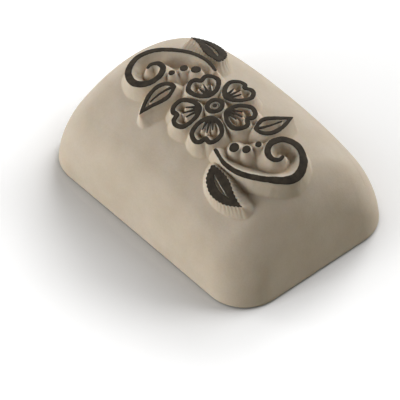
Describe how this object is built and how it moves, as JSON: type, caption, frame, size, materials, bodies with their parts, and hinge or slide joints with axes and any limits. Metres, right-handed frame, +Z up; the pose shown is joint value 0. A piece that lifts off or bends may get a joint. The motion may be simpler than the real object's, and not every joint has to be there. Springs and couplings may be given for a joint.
{
  "type": "temporary tattoo stamp",
  "caption": "Palm-sized block of moulded foam whose crowned top carries a raised, inked floral ornament for pressing onto skin.",
  "frame": {"origin": "centre of the flat underside", "axes": "+X along the block's long side, +Y across it, +Z up out of the crowned, inked top"},
  "size_m": [0.0658, 0.045, 0.0293],
  "materials": {
    "foam": "matte beige closed-cell foam",
    "ink": "dry black ink film"
  },
  "bodies": {
    "root": {"foam_block": "foam", "ink_heart_ring": "ink", "ink_heart_dot": "ink", "ink_petal_1": "ink", "ink_petal_2": "ink", "ink_petal_3": "ink", "ink_petal_4": "ink", "ink_petal_5": "ink", "ink_scroll_right": "ink", "ink_full_leaf_right": "ink", "ink_veined_leaf_right": "ink", "ink_dot_right_1": "ink", "ink_dot_right_2": "ink", "ink_dot_right_3": "ink", "ink_scroll_left": "ink", "ink_full_leaf_left": "ink", "ink_veined_leaf_left": "ink", "ink_dot_left_1": "ink", "ink_dot_left_2": "ink", "ink_dot_left_3": "ink"}
  },
  "joints": []
}
